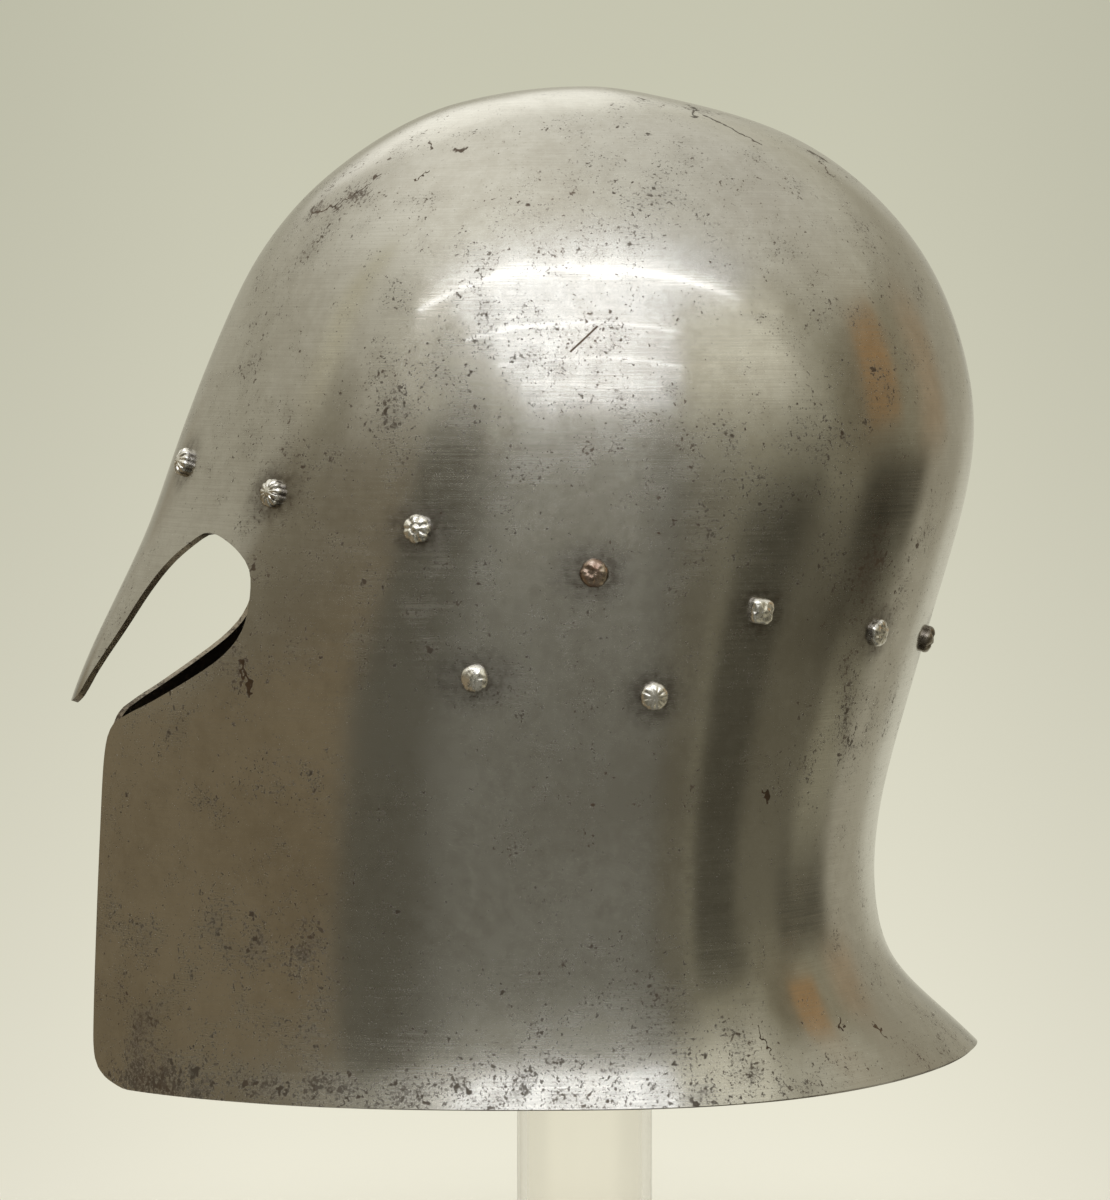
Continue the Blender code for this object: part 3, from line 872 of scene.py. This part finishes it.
def mix_colors(tree, share, first, second):
    return add_node(tree, "Mix", {0: share, 6: first, 7: second}, data_type="RGBA").outputs[2]


def grain(tree, place, scale, detail=2.0, roughness=0.5, distortion=0.0):
    inputs = {"Vector": place, "Scale": scale, "Detail": detail}
    inputs |= {"Roughness": roughness, "Distortion": distortion}
    return add_node(tree, "TexNoise", inputs).outputs[0]


def new_group(name, inputs, outputs):
    """A node group with named inputs and outputs."""
    tree = bpy.data.node_groups.new(name, "ShaderNodeTree")
    for label, kind in inputs.items():
        tree.interface.new_socket(name=label, in_out="INPUT", socket_type=f"NodeSocket{kind}")
    for label, kind in outputs.items():
        tree.interface.new_socket(name=label, in_out="OUTPUT", socket_type=f"NodeSocket{kind}")
    return tree, tree.nodes.new("NodeGroupInput").outputs, tree.nodes.new("NodeGroupOutput").inputs


def use_group(tree, group, **inputs):
    """Place a group in a tree. Returns its outputs."""
    inputs = {name.capitalize(): value for name, value in inputs.items()}
    return add_node(tree, "Group", inputs, node_tree=group).outputs


def brushing_group():
    """Fine scratches that run round the piece. Down is the length across them."""
    tree, given, made = new_group(
        "brushing",
        {"Place": "Vector", "Down": "Float"},
        {"Streaks": "Float", "Height": "Float"},
    )
    parts = add_node(tree, "SeparateXYZ", {0: given["Place"]}).outputs
    layers = []
    for along, across in BRUSHING:
        lines = {
            "X": work_out(tree, "MULTIPLY", parts["X"], along),
            "Y": work_out(tree, "MULTIPLY", parts["Y"], along),
            "Z": work_out(tree, "MULTIPLY", given["Down"], across),
        }
        place = add_node(tree, "CombineXYZ", lines).outputs[0]
        layers.append(grain(tree, place, 1.0, detail=2, roughness=0.65))
    both = work_out(tree, "ADD", layers[0], layers[1])
    tree.links.new(ease(tree, both, 0.78, 1.22), made["Streaks"])
    tree.links.new(both, made["Height"])
    return tree


def pitting_group():
    """Dark flecks in loose clusters, worm-like cracks where the decay is deep, and the stain."""
    tree, given, made = new_group(
        "pitting",
        {"Place": "Vector", "Decay": "Float"},
        {"Pits": "Float", "Stain": "Float"},
    )
    place, decay = given["Place"], given["Decay"]
    cluster = work_out(tree, "MULTIPLY", grain(tree, place, 95, detail=1), 0.24)
    cluster = work_out(tree, "MULTIPLY_ADD", grain(tree, place, 19, detail=1), 0.20, cluster)
    stain = work_out(tree, "MULTIPLY_ADD", decay, 0.04, cluster)
    cluster = work_out(tree, "MULTIPLY_ADD", decay, 0.12, cluster)
    pits = None
    for scale, level, soft, share in FLECKS:
        flecks = grain(tree, place, scale, detail=2, roughness=0.65)
        flecks = work_out(tree, "ADD", flecks, cluster)
        flecks = ease(tree, flecks, level, level + soft, 0.0, share)
        pits = work_out(tree, "MAXIMUM", pits, flecks) if pits else flecks
    worms = grain(tree, place, 430, detail=2, roughness=0.6)
    worms = work_out(tree, "ABSOLUTE", work_out(tree, "SUBTRACT", worms, 0.5))
    worms = work_out(tree, "MULTIPLY", ease(tree, worms, 0.035, 0.012),
                     ease(tree, cluster, 0.30, 0.38))
    pits = work_out(tree, "MAXIMUM", pits, work_out(tree, "MULTIPLY", worms, 0.9))
    tree.links.new(pits, made["Pits"])
    tree.links.new(ease(tree, stain, 0.20, 0.33), made["Stain"])
    return tree


def gouge_group():
    """How much of a scratch or crack, which runs from its start, a place of the pattern is in."""
    tree, given, made = new_group(
        "gouge",
        {"Flat": "Vector", "Start": "Vector", "Run": "Vector", "Width": "Float"},
        {"Mark": "Float"},
    )
    run = given["Run"]
    off = vector_math(tree, "SUBTRACT", given["Flat"], given["Start"])[0]
    along = vector_math(tree, "DOT_PRODUCT", off, run)["Value"]
    along = work_out(tree, "DIVIDE", along, vector_math(tree, "DOT_PRODUCT", run, run)["Value"])
    along = work_out(tree, "MINIMUM", work_out(tree, "MAXIMUM", along, 0.0), 1.0)
    nearest = add_node(tree, "VectorMath", {0: run, "Scale": along}, operation="SCALE").outputs[0]
    away = vector_math(tree, "DISTANCE", off, nearest)["Value"]
    heart = work_out(tree, "MULTIPLY", given["Width"], 0.4)
    tree.links.new(ease(tree, away, given["Width"], heart), made["Mark"])
    return tree


def tarnish_group():
    """Clean metal that years of handling darkened in soft clouds."""
    tree, given, made = new_group(
        "tarnish",
        {"Place": "Vector", "Clean": "Color", "Tarnish": "Color", "Amount": "Float"},
        {"Color": "Color", "Cloud": "Float"},
    )
    broad = grain(tree, given["Place"], 14, detail=3, roughness=0.6)
    mottle = grain(tree, given["Place"], 210, detail=2, roughness=0.7)
    cloud = work_out(tree, "MULTIPLY_ADD", mottle, 0.45, broad)
    cloud = ease(tree, cloud, 0.57, 0.93)
    share = work_out(tree, "MULTIPLY", cloud, given["Amount"])
    tree.links.new(mix_colors(tree, share, given["Clean"], given["Tarnish"]), made["Color"])
    tree.links.new(cloud, made["Cloud"])
    return tree


def new_material(name):
    """A material with its shader, and the place of each point on the piece in metres."""
    material = bpy.data.materials.new(name)
    material.use_nodes = True
    tree = material.node_tree
    place = add_node(tree, "TexCoord").outputs["Object"]
    return material, tree, tree.nodes["Principled BSDF"], place


def set_shader(tree, shader, **inputs):
    """Give a shader's inputs, by their names in lower case, their values or links."""
    inputs = {name.replace("_", " ").title().replace("Ior", "IOR"): value
              for name, value in inputs.items()}
    fill_inputs(tree, shader, inputs)


def bump(tree, height, depth):
    """The normal of a bump of a depth in metres."""
    inputs = {"Height": height, "Distance": depth, "Strength": 1.0}
    return add_node(tree, "Bump", inputs).outputs[0]


def lay_gouges(tree, group, pattern, place, pits):
    """Add the scratches and cracks to the pits."""
    flat = vector_math(tree, "MULTIPLY", pattern, (PATTERN_WIDTH, -WAY_LENGTH, 0))[0]
    wander = {"Vector": place, "Scale": 420, "Detail": 1}
    wander = add_node(tree, "TexNoise", wander).outputs["Color"]
    crooked = vector_math(tree, "MULTIPLY_ADD", wander, (2 * WANDER, 2 * WANDER, 0), flat)[0]
    crooked = vector_math(tree, "SUBTRACT", crooked, (WANDER, WANDER, 0))[0]
    for gouge in GOUGES:
        start, end = flat_place(gouge.start), flat_place(gouge.end)
        mark = use_group(
            tree, group, flat=crooked if gouge.crooked else flat, start=(*start, 0),
            run=(*(end - start), 0), width=gouge.width)["Mark"]
        pits = work_out(tree, "MAXIMUM", pits, mark)
    return pits


def darker(color, share):
    return tuple(share * part for part in color)


def add_tarnish(tree, groups, place, finish):
    """A finish's metal, as the tarnish group's outputs."""
    colors = {"clean": finish.clean, "tarnish": finish.tarnish}
    return use_group(tree, groups["tarnish"], place=place, amount=finish.amount, **colors)


def add_times(tree, first, *shares):
    """Add to a value other values times their factors."""
    for value, factor in shares:
        first = work_out(tree, "MULTIPLY_ADD", value, factor, first)
    return first


def plate_steel(groups, name, finish, decay, brushed=True):
    """Old steel plate: brushed round the helmet, tarnished, stained and pitted, with grime and a
    painted contact shadow round the rivet heads.
    """
    material, tree, shader, place = new_material(name)
    pattern = add_node(tree, "UVMap", uv_map="pattern").outputs[0]
    way = add_node(tree, "SeparateXYZ", {0: pattern}).outputs["Y"]
    down = work_out(tree, "MULTIPLY", way, WAY_LENGTH)
    brushing = use_group(tree, groups["brushing"], place=place, down=down)
    worn, grime_and_shade, patina = (
        add_node(tree, "Attribute", attribute_name=wear).outputs["Fac"]
        for wear in ("corrosion", "grime_and_shade", "patina"))
    near_rim = ease(tree, way, 0.95, 1.0, 0, 0.28)
    total = work_out(tree, "ADD", work_out(tree, "ADD", worn, near_rim), decay)
    pitting = use_group(tree, groups["pitting"], place=place, decay=total)
    pits = pitting["Pits"]
    if brushed:
        pits = lay_gouges(tree, groups["gouge"], pattern, place, pits)
    metal = add_tarnish(tree, groups, place, finish)
    streaks, stain = brushing["Streaks"], pitting["Stain"]
    speckle = ease(tree, grain(tree, place, 420), 0.30, 0.70, 0.45, 0.95)
    # Grime and a painted contact shadow round the rivet heads, broken up by speckle
    dirt_and_shade = work_out(tree, "MULTIPLY", grime_and_shade, speckle)
    pit_color = mix_colors(tree, metal["Cloud"], *PIT_COLORS)
    color = metal["Color"]
    for share, cover in (
        (ease(tree, streaks, 0, 1, 0.10, 0.0), darker(finish.tarnish, 0.5)),
        (work_out(tree, "MULTIPLY", stain, 0.26), darker(finish.tarnish, 0.62)),
        (patina, darker(finish.tarnish, 0.30)),
        (work_out(tree, "MULTIPLY", dirt_and_shade, 0.9), PLATE_GRIME_AND_SHADE),
        (pits, pit_color),
    ):
        color = mix_colors(tree, share, color, cover)
    roughness = ease(tree, streaks, 0, 1, finish.roughness + 0.05, finish.roughness - 0.03)
    roughness = add_times(tree, roughness, (stain, 0.12), (dirt_and_shade, 0.12), (pits, 0.15))
    metallic = work_out(tree, "MULTIPLY_ADD", pits, -0.5, 1.0)
    set_shader(tree, shader, base_color=color, roughness=roughness, metallic=metallic)
    if brushed:
        polish = work_out(tree, "SUBTRACT", 1.0, work_out(tree, "MAXIMUM", pits, patina))
        polish = work_out(tree, "MULTIPLY", work_out(tree, "MAXIMUM", polish, 0.0), 0.7)
        tangent = add_node(tree, "Tangent", direction_type="UV_MAP", uv_map="pattern")
        set_shader(
            tree, shader, anisotropic=0.6, anisotropic_rotation=0.25, tangent=tangent.outputs[0],
            coat_weight=polish, coat_roughness=0.05, coat_ior=1.9,
            normal=bump(tree, brushing["Height"], 0.0000003))
    return material


def rivet_steel(groups, name, finish):
    """A rivet's worn head, with grime in its grooves and painted shade round its rim."""
    material, tree, shader, place = new_material(name)
    metal = add_tarnish(tree, groups, place, finish)
    pitting = use_group(tree, groups["pitting"], place=place, decay=0.3)
    # Grime in the grooves, and painted shade round the head's rim
    grime_and_shade = add_node(tree, "Attribute", attribute_name="grime_and_shade").outputs["Fac"]
    spots = ease(tree, grain(tree, place, 900, detail=3, roughness=0.65), 0.35, 0.65, -0.25, 0.25)
    grime_and_shade = ease(tree, work_out(tree, "ADD", grime_and_shade, spots), 0.35, 1.1)
    dirty_and_shaded, pitted = (work_out(tree, "MULTIPLY", it, 0.8) for it in (grime_and_shade, pitting["Pits"]))
    color = mix_colors(tree, dirty_and_shaded, metal["Color"], RIVET_GRIME_AND_SHADE)
    color = mix_colors(tree, pitted, color, RIVET_PITS)
    roughness = work_out(tree, "MULTIPLY_ADD", grime_and_shade, 0.28, finish.roughness)
    scratches = grain(tree, place, 2200, detail=3, roughness=0.7)
    set_shader(tree, shader, base_color=color, roughness=roughness, metallic=0.95,
               normal=bump(tree, scratches, 0.00002))
    return material


def clear_acrylic():
    """Clear polished acrylic with the faint marks of dusting."""
    material, tree, shader, place = new_material("clear_acrylic")
    smear = grain(tree, place, 60, detail=4, roughness=0.7)
    roughness = ease(tree, smear, 0.35, 0.75, 0.015, 0.07)
    normal = bump(tree, grain(tree, place, 25, detail=2), 0.00003)
    set_shader(tree, shader, base_color=ACRYLIC_COLOR, roughness=roughness,
               normal=normal, transmission_weight=1.0, ior=ACRYLIC_IOR)
    return material


def pad_felt():
    """Matt black felt, with short tangled fibres."""
    material, tree, shader, place = new_material("pad_felt")
    tangle = grain(tree, place, 1400, detail=4, roughness=0.75, distortion=1.2)
    tufts = grain(tree, place, 180, detail=3)
    color = mix_colors(tree, tangle, *FELT_COLORS)
    color = mix_colors(tree, ease(tree, tufts, 0.4, 0.7, 0, 0.4), color, FELT_TUFTS)
    set_shader(tree, shader, base_color=color, roughness=0.95,
               normal=bump(tree, tangle, 0.00025), sheen_weight=0.4)
    return material


def make_materials():
    groups = {
        "brushing": brushing_group(),
        "pitting": pitting_group(),
        "gouge": gouge_group(),
        "tarnish": tarnish_group(),
    }
    materials = {
        "steel": plate_steel(groups, "plate_steel", PLATE_FINISH, decay=0.0),
        "inner": plate_steel(groups, "inner_steel", INNER_FINISH, decay=0.6, brushed=False),
        "edge": plate_steel(groups, "edge_steel", EDGE_FINISH, decay=0.5, brushed=False),
        "acrylic": clear_acrylic(),
        "felt": pad_felt(),
    }
    for name, finish in RIVET_FINISHES.items():
        materials[name] = rivet_steel(groups, f"{name}_rivets", finish)
    return materials


def lay_stretches(tree, behind, across, up, stretches):
    """Lay soft-edged stretches one over another."""
    for stretch in stretches:
        share = 1.0
        for along, bound, blur in (
            (across, stretch.left, stretch.blur),
            (across, stretch.right, -stretch.blur),
            (up, stretch.low, stretch.blur),
            (up, stretch.high, -stretch.blur),
        ):
            past = ease(tree, along, bound - blur, bound + blur)
            share = work_out(tree, "MULTIPLY", share, past)
        behind = mix_colors(tree, share, behind, stretch.color)
    return behind


def ceiling_light(tree, ahead, aside, y, up):
    """The lit ceiling: brighter in its middle, duller towards +Y, with a few long lights."""
    middle = work_out(tree, "MULTIPLY_ADD", ahead, 0.09, -0.10)
    spread = work_out(tree, "ABSOLUTE", work_out(tree, "SUBTRACT", aside, middle))
    glow = ease(tree, spread, 1.10, 0.84)
    for start, end in ((0.3, 0.85), (3.6, 2.9)):
        glow = work_out(tree, "MULTIPLY", glow, ease(tree, ahead, start, end))
    side = ease(tree, y, -0.35, 0.45)
    low = mix_colors(tree, side, (0.60, 0.575, 0.475), (0.61, 0.585, 0.47))
    high = mix_colors(tree, side, (1.04, 1.02, 0.91), (0.75, 0.73, 0.64))
    ceiling = mix_colors(tree, ease(tree, up, 26, 58), low, high)
    bright = mix_colors(tree, ease(tree, y, 0.05, 0.55), (1.45, 1.47, 1.49), (0.76, 0.77, 0.77))
    light = mix_colors(tree, glow, ceiling, bright)
    bow = work_out(tree, "MULTIPLY_ADD", aside, 0.05, -0.07)
    bowed = work_out(tree, "ADD", ahead, work_out(tree, "MULTIPLY", aside, bow))
    return lay_stretches(tree, light, aside, bowed, CEILING_LIGHTS)


def seen_backdrop(tree, y, up):
    """The pale backdrop, which is lighter low down and a little darker at the sides."""
    down = work_out(tree, "MAXIMUM", work_out(tree, "MULTIPLY_ADD", up, -0.04, 0.32), 0.0)
    down = work_out(tree, "POWER", work_out(tree, "MINIMUM", down, 1.0), 1.8)
    backdrop = mix_colors(tree, down, *BACKDROP_COLORS)
    corner = work_out(tree, "ABSOLUTE", work_out(tree, "SUBTRACT", y, 0.059))
    return mix_colors(tree, ease(tree, corner, 0.055, 0.145, 0, 0.10), backdrop, (0, 0, 0))


def make_surroundings():
    """The ceiling and the room that the steel mirrors, and the backdrop that is seen."""
    world = bpy.data.worlds.new("surroundings")
    world.use_nodes = True
    bpy.context.scene.world = world
    tree = world.node_tree
    toward = add_node(tree, "TexCoord").outputs["Generated"]
    x, y, z = add_node(tree, "SeparateXYZ", {0: toward}).outputs
    above = work_out(tree, "MAXIMUM", z, 0.03)
    ahead = work_out(tree, "DIVIDE", x, above)
    aside = work_out(tree, "DIVIDE", y, above)
    degrees = 180 / math.pi
    around = work_out(tree, "MULTIPLY", work_out(tree, "ARCTAN2", y, x), degrees)
    around = work_out(tree, "SUBTRACT", around, math.degrees(CAMERA_AZIMUTH))
    up = work_out(tree, "MULTIPLY", work_out(tree, "ARCSINE", z), degrees)
    light = ceiling_light(tree, ahead, aside, y, up)
    light = lay_stretches(tree, light, around, up, ROOM + BACKDROP)
    rays = add_node(tree, "LightPath").outputs
    seen = work_out(tree, "MAXIMUM", rays["Is Camera Ray"], rays["Is Transmission Ray"])
    color = mix_colors(tree, seen, light, seen_backdrop(tree, y, up))
    tree.links.new(color, tree.nodes["Background"].inputs["Color"])
    world.cycles.sampling_method = "NONE"


def make_floor():
    """The plain pale floor, which fades into the backdrop."""
    bm = bmesh.new()
    bmesh.ops.create_circle(bm, cap_ends=True, segments=FLOOR_SIDES, radius=FLOOR_RADIUS)
    mesh = bpy.data.meshes.new("floor")
    bm.to_mesh(mesh)
    bm.free()
    floor = bpy.data.objects.new("floor", mesh)
    bpy.context.scene.collection.objects.link(floor)
    material, tree, shader, place = new_material("pale_floor")
    out = add_node(tree, "VectorMath", {0: place}, operation="LENGTH").outputs["Value"]
    speckle = ease(tree, grain(tree, place, 90, detail=3), 0.3, 0.7)
    color = mix_colors(tree, speckle, *FLOOR_COLORS)
    set_shader(tree, shader, base_color=color, roughness=0.9,
               alpha=ease(tree, out, FADE_END, FADE_START, 0.0, 0.85))
    mesh.materials.append(material)
    floor.visible_glossy = False


def make_camera():
    data = bpy.data.cameras.new("camera")
    camera = bpy.data.objects.new("camera", data)
    bpy.context.scene.collection.objects.link(camera)
    flat = math.cos(CAMERA_ELEVATION)
    back = Vector((
        flat * math.cos(CAMERA_AZIMUTH),
        flat * math.sin(CAMERA_AZIMUTH),
        math.sin(CAMERA_ELEVATION),
    ))
    camera.location = CAMERA_TARGET + back * CAMERA_DISTANCE
    camera.rotation_mode = "QUATERNION"
    camera.rotation_quaternion = back.to_track_quat("Z", "Y")
    data.sensor_width = SENSOR_WIDTH
    data.lens = CAMERA_LENS
    data.clip_end = 20
    bpy.context.scene.camera = camera
    bpy.context.scene.view_settings.view_transform = "Standard"


make_camera()
make_surroundings()
make_floor()
finishes = make_materials()
make_plate(finishes["steel"], finishes["inner"], finishes["edge"])
make_rivets("lining_rivet", LINING_RIVETS, LINING_HEAD_RADIUS, finishes)
make_rivets("strap_rivet", STRAP_RIVETS, STRAP_HEAD_RADIUS, finishes)
make_pad(finishes["felt"])
make_stand(finishes["acrylic"])
